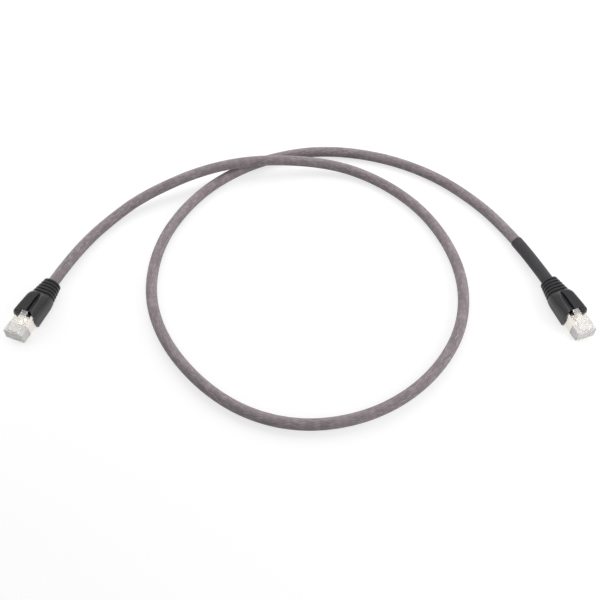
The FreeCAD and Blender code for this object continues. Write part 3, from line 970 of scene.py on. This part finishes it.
def valley_side(share):
    """The valley's rise from its bed, 0, to a lobe's crest, 1: a steep foot, a slope and a round crest."""
    foot = min(share / valley_foot, 1.0)
    slope = share * (1 + crest_rounding - crest_rounding * share ** crest_sharpness)
    return valley_foot_rise * foot + (1 - valley_foot_rise) * slope


def boot_loop(x):
    """The boot's section at x, its top drawn down into the valley and domed on the two lobes beside it."""
    half, reach, corner = boot_outline(x)
    loop = rounded_loop(x, half, reach, corner, side_steps=26)
    if x <= ribs_end:
        return loop
    opened = smooth_step((x - ribs_end - valley_start) / valley_run_in)
    along = min((x - ribs_end) / (mouth_x - ribs_end), 1.0)
    crest = valley_rear_half + (valley_front_half - valley_rear_half) * along ** valley_opening_power
    swell = lobe_rise * (1 - max(1 - (x - ribs_end) / lobe_run_in, 0.0) ** 2)
    for point in loop:
        if point.z > 0:
            aside = abs(point.y)
            if aside < crest:
                top = point.z + swell
                point.z = top - (top - valley_bed) * opened * (1 - valley_side(aside / crest))
            else:
                point.z += swell * (1 - ((aside - crest) / (half - crest)) ** 2)
    return loop


def make_boot(end):
    """The moulded strain relief: five ribs, two lobes beside a valley, and a mouth with a thin black sheet,
    painted shade under the latch.
    """
    fine_step = 0.12
    coarse_step = 0.3
    stations = spaced(0.0, ribs_end, fine_step) + spaced(ribs_end, boot_length, coarse_step)[1:]
    boot = from_bmesh(f"moulded_boot_{end.side}", lofted([boot_loop(x) for x in stations]))
    top = axis_height + lobe_rise + past
    front = boot_length + past
    mouth = prism_z([
        (mouth_x, -mouth_rear_half), (boot_length, -mouth_front_half), (front, -mouth_front_half),
        (front, mouth_front_half), (boot_length, mouth_front_half), (mouth_x, mouth_rear_half),
    ], 0.0, top)
    chin = prism_y([
        (boot_length, 0.0), (boot_length - chin_setback, -top), (front, -top), (front, 0.0),
    ], front_half + past)
    cable_hole = rod_x(cable_bore, -past, tail_end_x)
    tail_hole = rod_x(tail_bore, tail_end_x - hollow_slack, plug_rear_x)
    plug_hole = lofted([
        rounded_loop(x, half_width + plug_room, half_height + plug_room, hollow_corner)
        for x in (plug_rear_x - hollow_slack, front)])
    carve(boot, cable_hole, tail_hole, plug_hole, mouth, chin)
    # Small even faces, so that the smoothing rounds every edge alike
    remesh = boot.modifiers.new("even", "REMESH")
    remesh.mode = "VOXEL"
    remesh.voxel_size = 0.17
    soften = boot.modifiers.new("soften", "SMOOTH")
    soften.factor = 0.5
    soften.iterations = 4
    flattened(boot)
    body = bmesh.new()
    body.from_mesh(boot.data)
    # A thin black sheet over the shell, under the latch's tail: painted shade for the dark gap there.
    shade_sheet_z = half_height + shade_sheet_lift
    shade_sheet = block((mouth_x - shade_sheet_root, shade_sheet_end), (-shade_sheet_half, shade_sheet_half),
                   (shade_sheet_z, shade_sheet_z + shade_sheet_thickness))
    whole = joined([body, shade_sheet])
    whole.to_mesh(boot.data)
    whole.free()
    move_to_end(boot, end)
    stand_for(boot, "root", boot_finish, f"boot_{end.side}")


# The plug


def make_shell(end):
    """The folded metal shield, with rounded folds and the tail that is crimped on the cable."""
    outside = shell_skin(0.0)
    inside = shell_skin(shell_wall)
    shell = from_bmesh(f"shell_{end.side}", lofted(outside + list(reversed(inside)), closed=True))
    raise_dimples(shell)
    move_to_end(shell, end)
    stand_for(shell, "root", shell_finish, f"shield_shell_{end.side}")


def shell_skin(inset):
    """The shield's outside, or its inside at one wall's depth, from the front rim to the tail's end."""
    station_step = 0.35
    fold_steps = 6
    top_share = 0.35
    neck_flare = 0.2
    neck_squash = 0.1
    neck_length = 0.15
    half = half_width - inset
    reach = half_height - inset
    corner = shell_corner - inset
    rear = plug_rear_x + inset
    tail = tail_radius - inset
    nearly_round = tail - 0.01
    sections = [(x, half, reach, corner) for x in spaced(shell_front_x, rear + shell_corner, station_step)]
    for step in range(1, fold_steps + 1):
        angle = math.pi / 2 * step / fold_steps
        drop = corner * (1 - math.cos(angle))
        fold_x = rear + corner * (1 - math.sin(angle))
        sections.append((fold_x, half - drop, reach - drop * top_share, corner))
    sections.append((rear, tail + neck_flare, tail - neck_squash, tail - neck_squash))
    sections.append((rear - neck_length, tail, tail, nearly_round))
    sections.append((tail_end_x, tail, tail, nearly_round))
    return [rounded_loop(*section, side_steps=10) for section in sections]


def raise_dimples(shell):
    """Press the two round contact dimples out of the shell's sides, both faces of the wall alike."""
    centre_x = (boot_length + shell_front_x) / 2
    slack = 0.01
    for vertex in shell.data.vertices:
        if abs(vertex.co.y) > half_width - shell_wall - slack:
            away = math.hypot(vertex.co.x - centre_x, vertex.co.z)
            if away < dimple_radius:
                rise = dimple_height * smooth_step(1 - away / dimple_radius)
                vertex.co.y += math.copysign(rise, vertex.co.y)


def make_nose(end):
    """The clear body: a full-size nose with soft corners, and a smaller rear inside the shell."""
    shell_gap = 0.02
    shoulder_x = shell_front_x + shell_gap
    step_in = shell_wall + shell_gap
    rear_corner = 0.35
    chamfer = 0.15
    chamfer_corner = 0.5
    sharp_edge = 0.01
    straight_stations = (34.0, 36.0, 38.0)
    rounding_steps = 6
    loops = [
        rounded_loop(x, half_width - step_in, half_height - step_in, rear_corner)
        for x in (plug_rear_x + step_in, shoulder_x - sharp_edge)]
    loops.append(rounded_loop(shoulder_x, half_width - chamfer, half_height - chamfer, chamfer_corner))
    for x in (shoulder_x + chamfer, *straight_stations, nose_x - nose_corner):
        loops.append(rounded_loop(x, half_width, half_height, nose_corner))
    for step in range(1, rounding_steps + 1):
        angle = math.pi / 2 * step / rounding_steps
        inset = nose_corner * (1 - math.cos(angle))
        x = nose_x - nose_corner * (1 - math.sin(angle))
        loops.append(rounded_loop(x, half_width - inset, half_height - inset, nose_corner - inset / 2))
    nose = from_bmesh(f"clear_nose_{end.side}", lofted(loops))
    carve(nose, wire_room(), *contact_slots(), latch_socket())
    move_to_end(nose, end, smooth=False)
    stand_for(nose, "root", nose_finish, f"plug_body_{end.side}")


def wire_room():
    """The hollow in the plug's rear, which takes the fanned wires and the load bar."""
    rear_x = 16.8
    front_x = 31.9
    half = 4.52
    reach = 2.38
    return block((rear_x, front_x), (-half, half), (-reach, reach))


def contact_slots():
    """The wires' channels, and the contacts' slots: open through the nose's front, and deeper behind it."""
    channel_radius = 0.4
    channel_rear_x = 31.0
    channel_front_x = 38.05
    row_z = -1.35
    slot_half = 0.225
    slot_rear_x = 33.35
    deep_front_x = 37.85
    shallow_top = -1.87
    deep_top = -1.67
    bottom = -half_height - past
    middle = (contact_count + 1) / 2
    places = [(pin - middle) * contact_pitch for pin in range(1, contact_count + 1)]
    sides = [(y - slot_half, y + slot_half) for y in places]
    channels = joined([
        rod_x(channel_radius, channel_rear_x, channel_front_x, y, row_z, sides=16) for y in places])
    shallow = joined([block((slot_rear_x, nose_x + past), side, (bottom, shallow_top)) for side in sides])
    deep = joined([block((slot_rear_x, deep_front_x), side, (bottom, deep_top)) for side in sides])
    return channels, shallow, deep


def latch_socket():
    """The round socket across the nose, in which the latch's bead turns."""
    radius = 0.55
    half = 3.15
    socket = rod_x(radius, -half, half)
    crosswise = Matrix.Rotation(math.pi / 2, 4, "Z")
    hinge = Matrix.Translation((hinge_x, 0.0, hinge_z))
    bmesh.ops.transform(socket, matrix=hinge @ crosswise, verts=socket.verts)
    return socket


def cad_copy(node, name):
    """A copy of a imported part, with its triangles merged back into whole faces."""
    shape = bmesh.new()
    shape.from_mesh(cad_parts[node].data)
    bmesh.ops.remove_doubles(shape, verts=shape.verts, dist=1e-6)
    bmesh.ops.dissolve_limit(shape, angle_limit=math.radians(2), verts=shape.verts, edges=shape.edges)
    return from_bmesh(name, shape)


def make_softened(node, name, body, finish, width):
    """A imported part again, with its edges rounded off over a width in millimetres."""
    piece = cad_copy(node, name)
    bevel = piece.modifiers.new("soften", "BEVEL")
    bevel.width = width * MM
    bevel.segments = 3
    bevel.limit_method = "ANGLE"
    bevel.angle_limit = math.radians(40)
    flattened(piece)
    stand_for(piece, body, finish, node)


for plug_end in ends:
    make_boot(plug_end)
    make_shell(plug_end)
    make_nose(plug_end)
    make_softened(plug_end.latch, f"latch_arm_{plug_end.side}", plug_end.latch, clear_finish,
                  width=0.12)
    make_softened(f"load_bar_{plug_end.side}", f"wire_comb_{plug_end.side}", "root", bar_finish,
                  width=0.08)


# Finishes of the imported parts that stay


def dress(node, finish):
    """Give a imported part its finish."""
    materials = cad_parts[node].data.materials
    for i in range(len(materials)):
        materials[i] = finish
    if not materials:
        materials.append(finish)


for plug_end in ends:
    dress(f"contacts_{plug_end.side}", gold_finish)
    dress(f"ground_wrap_{plug_end.side}", screen_finish)
dress("conductor_cores", copper_finish)
dress("filler_cord", filler_finish)
for pin, (colour, (base, stripe)) in enumerate(wire_colours.items(), start=1):
    stripe_colour = None if stripe is None else linear(*stripe)
    dress(f"wire_{pin}_{colour}", make_wire_finish(f"insulation_{colour}", linear(*base), stripe_colour))
